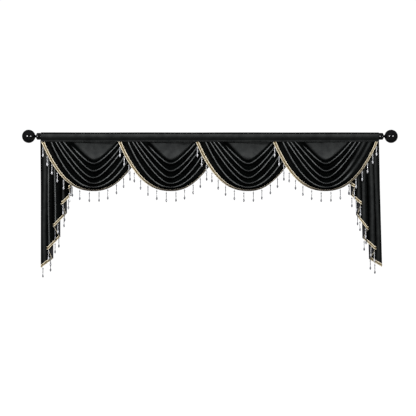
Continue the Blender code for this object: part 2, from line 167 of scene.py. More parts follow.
# Finer swag cloth
SWAG_STATIONS = 140
BAND_STATIONS = 560
ROWS_PER_BAND = 7
CREST_CROWDING = 1.4
CREST_ROUNDING = 0.20
# Painted highlight along each crest: its width, its strength, its share at the axis and where it is full
CREST_LINE_WIDTH = 0.0023
CREST_HIGHLIGHT_PAINT = 0.77
CREST_DIM_AT_AXIS = 0.32
CREST_BRIGHT_FROM = 0.10
# The crests' painted highlight fades out to painted shade where the next swag covers them: from and to, off
# the swag's axis
COVERED_SHADE_FROM = 0.19
COVERED_SHADE_TO = 0.30
# The highest crest's left side has its painted highlight only some way below the sleeve
HIGHEST_CREST = "crest E"
HIGHEST_CREST_FROM = 0.035
HIGHEST_CREST_FADE = 0.045
# The last swag's lowest crests are loose on its right side, so their painted highlights are softer, wider and
# dimmer there
LOOSE_CRESTS = ("crest A", "crest B")
LOOSE_FROM = 0.10
LOOSE_FADE = 0.12
LOOSE_HIGHLIGHT_SHARE = 0.17
LOOSE_WIDTH = 4.5
# The flat's painted light, lighter lower down, and the painted shadow under the sleeve's foot over the flat's
# left half
FLAT_PAINTED_LIGHT = 0.12
FLAT_FOOT_PAINTED_LIGHT = 0.19
FLAT_FOOT_FROM = 0.035
FLAT_FOOT_FADE = 0.075
FLAT_FIRST_BAND = 12
FOOT_SHADE = 0.85
FOOT_SHADE_DROP = 0.0155
FOOT_SHADE_WIDTH = 0.0045
FOOT_SHADE_TO = 0.03
# Two waves make a swag's folds uneven above its braid, and fade out at its ends
UNEVEN_FORWARD = 0.0009
UNEVEN_FIRST_BAND = 2
UNEVEN_FADE_BANDS = 2.0
UNEVEN_END_FADE = 4.0
Wave = namedtuple("Wave", "number band_phase swag_phase")
UNEVEN_WAVES = (Wave(31.0, 1.7, 2.3), Wave(67.0, 2.9, 1.0))

# Small creases, from (x, drop) to (x, drop) about the swag's axis: ridges, or troughs below 0
CREASE_END_FADE = 3.0
Crease = namedtuple("Crease", "x0 drop0 x1 drop1 width height")
SWAG_CREASES = {
    "swag_1": (
        Crease(-0.100, 0.012, -0.030, 0.070, 0.010, 0.0016),
        Crease(0.120, 0.016, 0.050, 0.064, 0.012, -0.0014),
        Crease(-0.020, 0.040, 0.010, 0.105, 0.012, 0.0012),
        Crease(-0.245, 0.070, -0.185, 0.165, 0.007, 0.0030),
        Crease(-0.120, 0.215, -0.060, 0.243, 0.007, 0.0024),
    ),
    "swag_2": (
        Crease(-0.095, 0.016, -0.040, 0.060, 0.010, 0.0014),
        Crease(0.095, 0.022, 0.045, 0.080, 0.012, -0.0015),
        Crease(0.010, 0.030, 0.004, 0.098, 0.010, 0.0013),
        Crease(-0.160, 0.180, -0.095, 0.228, 0.007, 0.0028),
        Crease(-0.180, 0.225, -0.120, 0.268, 0.006, 0.0026),
    ),
    "swag_3": (
        Crease(-0.085, 0.010, -0.020, 0.084, 0.011, 0.0013),
        Crease(0.125, 0.012, 0.035, 0.092, 0.011, -0.0012),
        Crease(-0.225, 0.090, -0.160, 0.178, 0.007, 0.0030),
        Crease(0.060, 0.246, 0.120, 0.205, 0.007, 0.0022),
    ),
    "swag_4": (
        Crease(-0.090, 0.014, -0.030, 0.076, 0.010, 0.0015),
        Crease(0.110, 0.020, 0.050, 0.076, 0.012, -0.0014),
        Crease(0.260, 0.030, 0.215, 0.120, 0.009, 0.0040),
        Crease(0.300, 0.030, 0.255, 0.140, 0.009, 0.0040),
        Crease(-0.190, 0.120, -0.130, 0.190, 0.007, 0.0026),
    ),
}

# Tails, as on the solids: one row for each pleat, from the outer edge in
Pleat = namedtuple("Pleat", "front_x front_drop back_x back_drop")
Tail = namedtuple("Tail", "name outer_x inward flare pleats")
LEFT_PLEATS = (
    Pleat(-0.007, 0.938, 0.086, 0.872),
    Pleat(0.046, 0.802, 0.138, 0.713),
    Pleat(0.092, 0.632, 0.187, 0.538),
    Pleat(0.152, 0.468, 0.221, 0.403),
    Pleat(0.203, 0.353, 0.243, 0.315),
)
RIGHT_PLEATS = (
    Pleat(-0.004, 0.930, 0.092, 0.877),
    Pleat(0.043, 0.802, 0.136, 0.722),
    Pleat(0.096, 0.655, 0.178, 0.552),
    Pleat(0.140, 0.468, 0.214, 0.404),
    Pleat(0.182, 0.344, 0.244, 0.305),
)
TAILS = (
    Tail("tail_left", -1.2455, 1, 0.000, LEFT_PLEATS),
    Tail("tail_right", 1.2455, -1, 0.026, RIGHT_PLEATS),
)
TAIL_Y_AT_HEADING = 0.0068
TAIL_Y_BELOW = 0.012
PLEAT_DEPTH_AT_HEADING = 0.0060
PLEAT_DEPTH_BELOW = 0.021
TURN_RADIUS_AT_HEADING = 0.0014
TURN_RADIUS_BELOW = 0.0055
PLEAT_OPENING_DROP = 0.40

# Finer tail cloth
FACE_COLUMNS = 28
TURN_COLUMNS = 8
RETURN_COLUMNS = 6
TAIL_ROWS = 60
FOLD_DRIFT = 0.04
FOLD_DRIFT_WAVE = 7.0
FOLD_DRIFT_PHASE = 2.0
FOLD_FADE_AT_BRAID = 0.06
FOLD_HIGHLIGHT_FADE = 0.1
# Soft upright folds: which pleat's face, how far along it, how wide and high, and how light on top
# A fold's tone is a painted highlight along its top, mixed into the cloth's colour
Fold = namedtuple("Fold", "pleat station width height tone")
TAIL_FOLDS = {
    "tail_left": (
        Fold(0, 0.34, 0.13, 0.0050, 0.13),
        Fold(1, 0.08, 0.030, 0.0012, 0.75),
        Fold(2, 0.07, 0.030, 0.0012, 0.75),
        Fold(3, 0.10, 0.10, 0.0015, 0.14),
    ),
    "tail_right": (
        Fold(0, 0.30, 0.13, 0.0045, 0.10),
        Fold(1, 0.20, 0.14, 0.0025, 0.13),
        Fold(2, 0.30, 0.14, 0.0030, 0.14),
        Fold(3, 0.20, 0.12, 0.0015, 0.12),
    ),
}

# Braid and bead strands, as on the solids
BRAID_WIDTH = 0.020
BRAID_PAST_HEM = 0.004
STRAND_LENGTH = 0.082
STRAND_RING_DROPS = (0.050, 0.072)
# What a solid strand's tip is, and how near to its upright line its rings are
TIP_AREA = 9e-6
TIP_NORMAL_Z = -0.99
TIP_SPACING = 0.003
RING_WITHIN_X = 0.008
RING_WITHIN_Y = 0.03
RING_WITHIN_Z = 0.0004

# Finer braid: cords that run along it, by their share of its width and the height over its ribbon
BRAID_STEP = 0.0014
RIBBON_STEP = 0.004
RIBBON_ROWS = 5
RIBBON_INSET_SHARE = 0.03
RIBBON_LIFT = CLOTH / 2 + 0.0004
RIBBON_THICKNESS = 0.0008
Cord = namedtuple("Cord", "share lift radius scallop pitch finish")
BRAID_CORDS = (
    Cord(0.05, 0.0020, 0.0014, 0.35, 0.0052, "cream"),
    Cord(0.17, 0.0022, 0.0016, 0.22, 0.0042, "cream"),
    Cord(0.28, 0.0019, 0.0011, 0.20, 0.0042, "gold"),
    Cord(0.72, 0.0019, 0.0011, 0.20, 0.0042, "gold"),
    Cord(0.83, 0.0022, 0.0016, 0.22, 0.0042, "cream"),
    Cord(0.95, 0.0020, 0.0014, 0.35, 0.0052, "cream"),
)
PLAIT_SHARE = 0.50
PLAIT_LIFT = 0.0027
PLAIT_SWING = 0.0024
PLAIT_RISE = 0.0008
PLAIT_RADIUS = 0.0010
PLAIT_PITCH = 0.032
# How much painted shade a swag's braid has, by distance from the swag's axis: most round the foot
BRAID_SHADE_OFFSETS = (-0.21, -0.07, 0.06, 0.16, 0.28, 0.36)
BRAID_SHADES = (0.0, 0.80, 0.80, 0.50, 0.35, 0.0)

# Beads down a strand: the drop of each one's top and foot from the root, its radius, how far down it is
# widest, or 0 for a tube, and its number of facets
THREAD_RADIUS = 0.0006
THREAD_POINTS = 8
THREAD_INTO_LAST_BEAD = 0.004
Bead = namedtuple("Bead", "top foot radius widest facets")
BEADS = (
    Bead(0.0060, 0.0085, 0.0029, 0.50, 8),
    Bead(0.0088, 0.0115, 0.0031, 0.50, 8),
    Bead(0.0118, 0.0212, 0.0062, 0.50, 10),
    Bead(0.0215, 0.0240, 0.0031, 0.50, 8),
    Bead(0.0243, 0.0490, 0.0031, 0.00, 6),
    Bead(0.0493, 0.0521, 0.0033, 0.50, 8),
    Bead(0.0524, 0.0820, 0.0066, 0.62, 8),
)
BEAD_RINGS = 6
BEAD_END_SHARE = 0.25
TUBE_END_SHARE = 0.7
TUBE_BEVEL_SHARE = 0.04
# How far each strand's beads are turned from the last one's, in radians
BEAD_TURN = 0.7
# Strands farther than this from their swag's axis hang before the next swag, or before a tail, and take the
# beads' painted highlight colour
BEFORE_SWAG_FROM = 0.27
BEFORE_TAIL_FROM = 0.17
BEFORE_FADE = 0.05
BEFORE_PLEAT_WITHIN = 0.03


def ease(value):
    """0 to 1, level at both ends."""
    value = np.clip(value, 0.0, 1.0)
    return value * value * (3.0 - 2.0 * value)


def mix(low, high, share):
    return low + (high - low) * share


def link(obj):
    bpy.context.scene.collection.objects.link(obj)
    return obj


def new_mesh(name, bm):
    mesh = bpy.data.meshes.new(name)
    bm.to_mesh(mesh)
    bm.free()
    return mesh


def grid_object(name, points, materials, painted_light_marks=None):
    """A smooth mesh grid through points[row, column], with an optional painted-light mark on each point, in
    its 'crest' attribute.
    """
    rows, columns = points.shape[:2]
    bm = bmesh.new()
    bmesh.ops.create_grid(bm, x_segments=columns - 1, y_segments=rows - 1, size=1.0)
    layer = bm.verts.layers.float.new("crest")
    for vert in bm.verts:
        column = round((vert.co.x + 1.0) / 2.0 * (columns - 1))
        row = round((vert.co.y + 1.0) / 2.0 * (rows - 1))
        vert.co = points[row, column]
        if painted_light_marks is not None:
            vert[layer] = painted_light_marks[row, column]
    mesh = new_mesh(name, bm)
    mesh.shade_smooth()
    for material in materials:
        mesh.materials.append(material)
    return link(bpy.data.objects.new(name, mesh))


def thicken(obj, thickness, offset):
    """Solidify: the far side takes the second material, for the back of the cloth."""
    solidify = obj.modifiers.new("thickness", "SOLIDIFY")
    solidify.thickness = thickness
    solidify.offset = offset
    if len(obj.data.materials) > 1:
        solidify.material_offset = 1
        solidify.material_offset_rim = 1
    return obj


def settle(obj):
    """The object with its modifiers or bevel made into its mesh."""
    bpy.context.view_layer.update()
    graph = bpy.context.evaluated_depsgraph_get()
    mesh = bpy.data.meshes.new_from_object(obj.evaluated_get(graph))
    name = obj.name
    if obj.type == "CURVE":
        bpy.data.objects.remove(obj)
        mesh.name = name
        return link(bpy.data.objects.new(name, mesh))
    obj.modifiers.clear()
    obj.data = mesh
    return obj


def dress(obj, slot, *nodes):
    """The piece rides with the object and stands for its nodes; its slot is not used."""
    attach(obj, "root")
    if nodes:
        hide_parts(*nodes)
    return obj


def new_material(name, roughness, specular):
    material = bpy.data.materials.new(name)
    material.use_nodes = True
    shader = material.node_tree.nodes["Principled BSDF"]
    shader.inputs["Roughness"].default_value = roughness
    shader.inputs["Specular IOR Level"].default_value = specular
    return material, material.node_tree.nodes, material.node_tree.links, shader


def object_noise(nodes, links, scale, detail, stretch=(1.0, 1.0, 1.0)):
    place = nodes.new("ShaderNodeTexCoord")
    mapping = nodes.new("ShaderNodeMapping")
    mapping.inputs["Scale"].default_value = stretch
    noise = nodes.new("ShaderNodeTexNoise")
    noise.inputs["Scale"].default_value = scale
    noise.inputs["Detail"].default_value = detail
    links.new(place.outputs["Object"], mapping.inputs["Vector"])
    links.new(mapping.outputs["Vector"], noise.inputs["Vector"])
    return noise.outputs["Fac"]


def ramp(nodes, links, value, stops):
    """A colour ramp of (position, colour) stops."""
    node = nodes.new("ShaderNodeValToRGB")
    elements = node.color_ramp.elements
    while len(elements) < len(stops):
        elements.new(0.5)
    for element, (position, colour) in zip(elements, stops):
        element.position = position
        element.color = (*colour, 1.0)
    links.new(value, node.inputs["Fac"])
    return node.outputs["Color"]


def blend_colours(nodes, links, share, first, second, way="MIX"):
    node = nodes.new("ShaderNodeMix")
    node.data_type = "RGBA"
    node.blend_type = way
    if isinstance(share, float):
        node.inputs["Factor"].default_value = share
    else:
        links.new(share, node.inputs["Factor"])
    links.new(first, node.inputs["A"])
    links.new(second, node.inputs["B"])
    return node.outputs["Result"]


def point_mark(nodes, name):
    """The mark of that name that each point of a piece has."""
    painted_mark = nodes.new("ShaderNodeAttribute")
    painted_mark.attribute_name = name
    return painted_mark.outputs["Fac"]


def vary_roughness(nodes, links, shader, value, low, high):
    rough = nodes.new("ShaderNodeMapRange")
    rough.inputs["To Min"].default_value = low
    rough.inputs["To Max"].default_value = high
    links.new(value, rough.inputs["Value"])
    links.new(rough.outputs["Result"], shader.inputs["Roughness"])


def add_bump(nodes, links, shader, height, strength, distance):
    bump = nodes.new("ShaderNodeBump")
    bump.inputs["Strength"].default_value = strength
    bump.inputs["Distance"].default_value = distance
    links.new(height, bump.inputs["Height"])
    links.new(bump.outputs["Normal"], shader.inputs["Normal"])


def velvet_pile():
    """Black pile, lighter by the mark that each point of the cloth has: painted light on the crests, flats,
    sleeve and folds.
    """
    material, nodes, links, shader = new_material("velvet_pile", 0.50, 0.035)
    cloudy = object_noise(nodes, links, 16.0, 4.0, (1.0, 1.0, 1.4))
    pile = ramp(nodes, links, cloudy, ((0.35, (0.0003, 0.00035, 0.0004)), (0.70, (0.0014, 0.0018, 0.0017))))
    painted_light_noise = object_noise(nodes, links, 22.0, 3.5)
    painted_light_colour = ramp(nodes, links, painted_light_noise, ((0.30, (0.105, 0.110, 0.112)), (0.72, (0.185, 0.194, 0.192))))
    colour = blend_colours(nodes, links, point_mark(nodes, "crest"), pile, painted_light_colour)
    links.new(colour, shader.inputs["Base Color"])
    vary_roughness(nodes, links, shader, cloudy, 0.45, 0.56)
    add_bump(nodes, links, shader, object_noise(nodes, links, 1400.0, 2.0), 0.15, 0.0004)
    return material


def velvet_back():
    """The woven ground on the cloth's wrong side."""
    material, nodes, links, shader = new_material("velvet_back", 0.85, 0.3)
    weave = object_noise(nodes, links, 700.0, 1.0, (1.0, 1.0, 0.35))
    colour = ramp(nodes, links, weave, ((0.35, (0.012, 0.012, 0.013)), (0.70, (0.027, 0.027, 0.029))))
    links.new(colour, shader.inputs["Base Color"])
    add_bump(nodes, links, shader, weave, 0.4, 0.0004)
    return material


def braid_yarn(name, dark, light):
    """Twisted rayon yarn: fine slanting plies, a slow change of tone along it, and painted shade in dark
    brown by the 'shade' mark.
    """
    material, nodes, links, shader = new_material(name, 0.48, 0.5)
    shader.inputs["Sheen Weight"].default_value = 0.15
    plies = object_noise(nodes, links, 900.0, 2.0, (1.0, 1.0, 0.6))
    slow = object_noise(nodes, links, 60.0, 2.0)
    fine = ramp(nodes, links, plies, ((0.30, dark), (0.65, light)))
    wide = ramp(nodes, links, slow, ((0.30, (0.78, 0.76, 0.72)), (0.70, (1.0, 1.0, 1.0))))
    unshaded = blend_colours(nodes, links, 1.0, fine, wide, "MULTIPLY")
    painted_shade_brown = ramp(nodes, links, plies, ((0.30, (0.020, 0.013, 0.010)), (0.65, (0.050, 0.034, 0.026))))
    colour = blend_colours(nodes, links, point_mark(nodes, "shade"), unshaded, painted_shade_brown)
    links.new(colour, shader.inputs["Base Color"])
    add_bump(nodes, links, shader, plies, 0.6, 0.0004)
    return material


def black_gloss():
    """Gloss black paint with a faint orange-peel and dust-fine mottling."""
    material, nodes, links, shader = new_material("pole_black", 0.16, 0.9)
    mottle = object_noise(nodes, links, 55.0, 3.0)
    colour = ramp(nodes, links, mottle, ((0.35, (0.002, 0.002, 0.0025)), (0.70, (0.006, 0.006, 0.0065))))
    links.new(colour, shader.inputs["Base Color"])
    vary_roughness(nodes, links, shader, mottle, 0.07, 0.14)
    add_bump(nodes, links, shader, object_noise(nodes, links, 260.0, 2.0), 0.06, 0.0006)
    return material


def crystal():
    """Clear cut glass, with painted light: a light colour, a painted highlight, before the black cloth, and a
    dark one, painted shade, before the pale wall.
    """
    material, nodes, links, shader = new_material("crystal", 0.14, 0.32)
    shader.inputs["Transmission Weight"].default_value = 0.08
    shader.inputs["IOR"].default_value = 1.55
    cast = object_noise(nodes, links, 40.0, 1.0)
    # Dark is painted shade on the glass and light a painted highlight; the 'before_cloth' mark picks between
    # them
    dark = ramp(nodes, links, cast, ((0.30, (0.115, 0.117, 0.128)), (0.70, (0.215, 0.218, 0.230))))
    light = ramp(nodes, links, cast, ((0.30, (0.38, 0.385, 0.40)), (0.70, (0.60, 0.605, 0.63))))
    colour = blend_colours(nodes, links, point_mark(nodes, "before_cloth"), dark, light)
    links.new(colour, shader.inputs["Base Color"])
    add_bump(nodes, links, shader, object_noise(nodes, links, 500.0, 1.0), 0.08, 0.0003)
    return material


def floor_paint():
    material, nodes, links, shader = new_material("floor_white", 0.8, 0.2)
    speckle = object_noise(nodes, links, 3.0, 2.0)
    colour = ramp(nodes, links, speckle, ((0.3, (0.95, 0.95, 0.95)), (0.7, (0.98, 0.98, 0.98))))
    links.new(colour, shader.inputs["Base Color"])
    shader.inputs["Emission Color"].default_value = (1.0, 1.0, 1.0, 1.0)
    shader.inputs["Emission Strength"].default_value = 1.0
    return material


def climb(stations, power):
    """How far up a line is: 0 at the swag's axis, where it turns softly, to 1 at the heading."""

    def height(reach):
        return (reach * reach + AXIS_ROUNDING**2) ** (power / 2)

    return (height(stations) - height(0.0)) / (height(1.0) - height(0.0))


def tuck_share(swag, stations):
    """How far the hem turns under: fully along the right side, not at the axis or at the heading."""
    return swag.right_tuck * ease(TUCK_RISE * stations) * ease(TUCK_FADE * (1.0 - stations))


def swag_line_points(swag, line, stations):
    """Points along one crest or hollow line of the swag; station -1 is its left end and 1 its right."""
    left = stations < 0
    offset_x = stations * np.where(left, line.left_span, line.right_span)
    reach = np.abs(stations)
    climbed = np.where(left, climb(stations, line.left_power), climb(stations, line.right_power))
    drop = line.drop * (1.0 - climbed)
    gathered = reach**PRESS_POWER
    pressed = line.pressed * mix(1.0, PRESS_RELEASE, ease(drop / PRESS_RELEASE_DROP))
    relief = np.where(stations > 0, swag.right_relief, 1.0)
    bulge = line.forward * mix(relief, 1.0, ease(1.0 - 2.0 * reach))
    spacing = mix(LAYER_AT_HEADING, LAYER_BELOW, ease(drop / LAYER_DEPTH))
    share = ease((offset_x / SWAG_HALF_SPAN / LAYER_REACH + 1.0) / 2.0)
    layer_y = spacing * mix(swag.left_layer, swag.right_layer, share)
    y = layer_y - mix(bulge, pressed, gathered)
    if line is SWAG_LINES[0]:
        offset_x = offset_x - TUCK_IN * tuck_share(swag, stations)
        y = y + TUCK_BACK * tuck_share(swag, stations)
    return np.stack([swag.axis_x + offset_x, y, CLOTH_TOP_Z - drop], axis=1)


def rounded(share):
    """0 to 1: level and narrow at 0, like a fold's crest, then straight on."""
    full = math.hypot(1.0, CREST_ROUNDING) - CREST_ROUNDING
    return (np.hypot(share, CREST_ROUNDING) - CREST_ROUNDING) / full


def is_crest(line):
    return line.name.startswith("crest")


def fold_depth_share(lower, upper, share):
    """How far the cloth is from one line's depth to the next: round at a crest, sharp in a hollow."""
    if is_crest(lower):
        return rounded(share)
    if is_crest(upper):
        return 1.0 - rounded(1.0 - share)
    return float(ease(share))


def crease_height(creases, x, drop):
    total = np.zeros_like(x)
    for crease in creases:
        run_x = crease.x1 - crease.x0
        run_drop = crease.drop1 - crease.drop0
        length = math.hypot(run_x, run_drop)
        along = ((x - crease.x0) * run_x + (drop - crease.drop0) * run_drop) / length**2
        across = ((x - crease.x0) * run_drop - (drop - crease.drop0) * run_x) / length
        fade = ease(along * CREASE_END_FADE + 0.5) * ease((1.0 - along) * CREASE_END_FADE + 0.5)
        total += crease.height * fade * np.exp(-((across / crease.width) ** 2))
    return total


def crest_painted_highlight(swag, line, row, line_points):
    """The painted highlight beside a crest line: dim at the axis and in painted shade, faint and wide where
    loose.
    """
    offset = row[:, 0] - swag.axis_x
    drop = CLOTH_TOP_Z - row[:, 2]
    painted_peak = CREST_HIGHLIGHT_PAINT * mix(CREST_DIM_AT_AXIS, 1.0, ease(np.abs(offset) / CREST_BRIGHT_FROM))
    painted_cover_shade = ease((offset - COVERED_SHADE_FROM) / (COVERED_SHADE_TO - COVERED_SHADE_FROM))
    painted_peak = painted_peak * (1.0 - swag.right_tuck * painted_cover_shade)
    if line.name == HIGHEST_CREST:
        painted_peak = painted_peak * np.where(offset < 0, ease((drop - HIGHEST_CREST_FROM) / HIGHEST_CREST_FADE), 1.0)
    width = CREST_LINE_WIDTH
    if line.name in LOOSE_CRESTS:
        loose = swag.right_loose * ease((offset - LOOSE_FROM) / LOOSE_FADE)
        painted_peak = painted_peak * mix(1.0, LOOSE_HIGHLIGHT_SHARE, loose)
        width = width * mix(1.0, LOOSE_WIDTH, loose)
    distance = np.linalg.norm(row - line_points, axis=1)
    return painted_peak * np.exp(-((distance / width) ** 2))


def flat_painted_light(band, offset, drop):
    """How much painted light the swag's flat has, with a painted shadow under the sleeve's foot, at bands up
    from the hem and points about its axis.
    """
    foot_shade = np.exp(-(((drop - FOOT_SHADE_DROP) / FOOT_SHADE_WIDTH) ** 2))
    foot_shade = foot_shade * ease((FOOT_SHADE_TO - offset) / (2.0 * FOOT_SHADE_TO))
    tone = mix(FLAT_PAINTED_LIGHT, FLAT_FOOT_PAINTED_LIGHT, ease((drop - FLAT_FOOT_FROM) / FLAT_FOOT_FADE))
    return tone * ease(band - FLAT_FIRST_BAND) * (1.0 - FOOT_SHADE * foot_shade)


def swag_stations(count):
    """Stations along a swag, from -1 to 1, that are closer together towards its ends."""
    even = np.linspace(-1.0, 1.0, count)
    return even * (1.0 + SWAG_CROWDING * (1.0 - even * even))


def crowded(lower, upper, share):
    """A fine row's share of the way between two lines, moved towards the one that is a crest."""
    if is_crest(lower):
        return share**CREST_CROWDING
    if is_crest(upper):
        return 1.0 - (1.0 - share) ** CREST_CROWDING
    return share


def sway(offset, band, index):
    """The waves that make the folds uneven, with a phase for each band and each swag."""
    total = np.zeros_like(offset)
    for wave in UNEVEN_WAVES:
        total += np.sin(offset * wave.number + band * wave.band_phase + index * wave.swag_phase)
    return total


def swag_cloth(swag, index):
    """Points of the fine swag cloth, from the hem up, and their painted light: highlights on the crests and
    flat, and painted shade.
    """
    stations = swag_stations(SWAG_STATIONS)
    lines = [swag_line_points(swag, line, stations) for line in SWAG_LINES]
    points = []
    painted_light_marks = []
    for band in range(len(SWAG_LINES) - 1):
        lower, upper = SWAG_LINES[band : band + 2]
        lower_points, upper_points = lines[band : band + 2]
        last = band == len(SWAG_LINES) - 2
        for step in range(ROWS_PER_BAND + (1 if last else 0)):
            share = crowded(lower, upper, step / ROWS_PER_BAND)
            row = mix(lower_points, upper_points, share)
            depth_share = fold_depth_share(lower, upper, share)
            row[:, 1] = mix(lower_points[:, 1], upper_points[:, 1], depth_share)
            offset = row[:, 0] - swag.axis_x
            drop = CLOTH_TOP_Z - row[:, 2]
            painted_mark = flat_painted_light(band + share, offset, drop)
            for line, line_points in ((lower, lower_points), (upper, upper_points)):
                if is_crest(line):
                    painted_mark = np.maximum(painted_mark, crest_painted_highlight(swag, line, row, line_points))
            if band >= UNEVEN_FIRST_BAND:
                calm = ease((1.0 - np.abs(stations)) * UNEVEN_END_FADE)
                calm = calm * min(1.0, (band - UNEVEN_FIRST_BAND + share) / UNEVEN_FADE_BANDS)
                row[:, 1] -= calm * sway(offset, band, index) * UNEVEN_FORWARD
                row[:, 1] -= calm * crease_height(SWAG_CREASES[swag.name], offset, drop)
            points.append(row)
            painted_light_marks.append(painted_mark)
    return np.array(points), np.array(painted_light_marks)


def tail_columns(tail):
    """Each fine column as (kind, first pleat, second pleat, station), from the outer edge in."""
    columns = []
    for pleat, following in zip(tail.pleats, tail.pleats[1:]):
        for kind, first, second, count in (
            ("face", pleat, pleat, FACE_COLUMNS),
            ("back turn", pleat, pleat, TURN_COLUMNS),
            ("return", pleat, following, RETURN_COLUMNS),
            ("front turn", following, following, TURN_COLUMNS),
        ):
            columns += [(kind, first, second, step / count) for step in range(count)]
    last = tail.pleats[-1]
    columns += [("face", last, last, step / FACE_COLUMNS) for step in range(FACE_COLUMNS + 1)]
    return columns if tail.inward > 0 else columns[::-1]


def tail_hem_drop(column):
    kind, first, second, station = column
    if kind == "face":
        return mix(first.front_drop, first.back_drop, station)
    if kind == "return":
        return mix(first.back_drop, second.front_drop, station)
    return first.back_drop if kind == "back turn" else first.front_drop


def tail_plan(column, depth, radius):
    """Distance in from the outer edge, and y about the tail's own plane, of a column of the pleats."""
    kind, first, second, station = column
    if kind == "face":
        inset = mix(first.front_x + radius, first.back_x - radius, station)
        return inset, mix(-depth, depth, ease(station))
    if kind == "return":
        inset = mix(first.back_x - radius, second.front_x + radius, station)
        return inset, mix(1.0, -1.0, ease(station)) * (depth - 2 * radius)
    turn = math.pi * station
    if kind == "back turn":
        return first.back_x - radius + radius * math.sin(turn), depth - radius + radius * math.cos(turn)
    return first.front_x + radius - radius * math.sin(turn), radius - depth + radius * math.cos(turn)


def tail_points(tail, column, drops):
    """Points down one column of the tail."""
    opening = ease(drops / PLEAT_OPENING_DROP)
    depth = mix(PLEAT_DEPTH_AT_HEADING, PLEAT_DEPTH_BELOW, opening)
    radius = mix(TURN_RADIUS_AT_HEADING, TURN_RADIUS_BELOW, opening)
    inset, y = tail_plan(column, depth, radius)
    x = tail.outer_x + tail.inward * (inset - tail.flare * drops / tail.pleats[0].front_drop)
    y = mix(TAIL_Y_AT_HEADING, TAIL_Y_BELOW, opening) + y
    return np.stack([x, y, CLOTH_TOP_Z - drops], axis=1)


def tail_cloth(tail):
    """Points of the fine tail cloth, from the hem up, with a painted highlight along each soft fold."""
    columns = tail_columns(tail)
    points = np.zeros((TAIL_ROWS + 1, len(columns), 3))
    painted_light_marks = np.zeros((TAIL_ROWS + 1, len(columns)))
    for c, column in enumerate(columns):
        kind, pleat, _, station = column
        hem = tail_hem_drop(column)
        drops = hem * np.linspace(1.0, 0.0, TAIL_ROWS + 1)
        points[:, c] = tail_points(tail, column, drops)
        if kind != "face":
            continue
        opening = ease(drops / PLEAT_OPENING_DROP)
        above_braid = ease((hem - drops - BRAID_WIDTH) / FOLD_FADE_AT_BRAID)
        for fold in TAIL_FOLDS[tail.name]:
            if tail.pleats[fold.pleat] is not pleat:
                continue
            drift = FOLD_DRIFT * np.sin(drops * FOLD_DRIFT_WAVE + fold.pleat * FOLD_DRIFT_PHASE)
            shape = np.exp(-(((station - fold.station - drift) / fold.width) ** 2))
            points[:, c, 1] -= fold.height * shape * opening * above_braid
            painted_light_marks[:, c] = np.maximum(painted_light_marks[:, c], fold.tone * shape * ease(drops / FOLD_HIGHLIGHT_FADE))
    return points, painted_light_marks


def sleeve_section():
    """Middle line of the sleeve, from its front foot over the pole to its back foot: (y, z, solid's row)."""
    foot_distance = math.hypot(SLEEVE_FOOT_Y, SLEEVE_FOOT_Z)
    foot_angle = math.atan2(-SLEEVE_FOOT_Z, SLEEVE_FOOT_Y)
    tangent_angle = foot_angle - math.acos(SLEEVE_RADIUS / foot_distance)
    front_y = -SLEEVE_RADIUS * math.cos(tangent_angle)
    front_z = -SLEEVE_RADIUS * math.sin(tangent_angle)
    section = []
    for step in range(SLEEVE_SIDE_STEPS):
        share = step / SLEEVE_SIDE_STEPS
        section.append((mix(-SLEEVE_FOOT_Y, front_y, share), mix(SLEEVE_FOOT_Z, front_z, share), share))
    for step in range(SLEEVE_ARC_STEPS + 1):
        angle = mix(-tangent_angle, math.pi + tangent_angle, step / SLEEVE_ARC_STEPS)
        along = 1.0 + SLEEVE_ARC_ROWS * step / SLEEVE_ARC_STEPS
        section.append((-SLEEVE_RADIUS * math.cos(angle), SLEEVE_RADIUS * math.sin(angle), along))
    for step in range(1, SLEEVE_SIDE_STEPS + 1):
        share = step / SLEEVE_SIDE_STEPS
        y = mix(-front_y, SLEEVE_FOOT_Y, share)
        section.append((y, mix(front_z, SLEEVE_FOOT_Z, share), 1.0 + SLEEVE_ARC_ROWS + share))
    return section


def sleeve_cloth():
    """Points of the sleeve with its slow waves, sewn line and puckers, and its painted light by height."""
    xs = np.linspace(-SLEEVE_HALF_LENGTH, SLEEVE_HALF_LENGTH, SLEEVE_STATIONS)
    rows = []
    painted_light_marks = []
    for y, z, along in sleeve_section():
        low = float(ease(z / SLEEVE_FOOT_Z))
        wave = np.sin(SLEEVE_LONG_WAVE * xs + along) + low * np.sin(SLEEVE_SHORT_WAVE * xs)
        side = math.copysign(1.0, y)
        sewn = math.exp(-(((z - SEWN_LINE_Z) / SEWN_LINE_WIDTH) ** 2)) * SEWN_LINE_DEPTH
        pucker = low * PUCKER_DEPTH * np.sin(xs * PUCKER_WAVE + 2.0 * np.sin(xs * PUCKER_SLOW_WAVE))
        row_y = y + side * (wave * SLEEVE_WAVE / 2 - sewn + pucker)
        rows.append(np.stack([xs, row_y, z + wave * SLEEVE_WAVE / 2], axis=1))
        painted_light_marks.append(np.full(len(xs), np.interp(z, SLEEVE_PAINTED_LIGHT_HEIGHTS, SLEEVE_PAINTED_LIGHTS)))
    return np.array(rows), np.array(painted_light_marks)


def unit(vectors):
    return vectors / np.linalg.norm(vectors, axis=-1, keepdims=True)


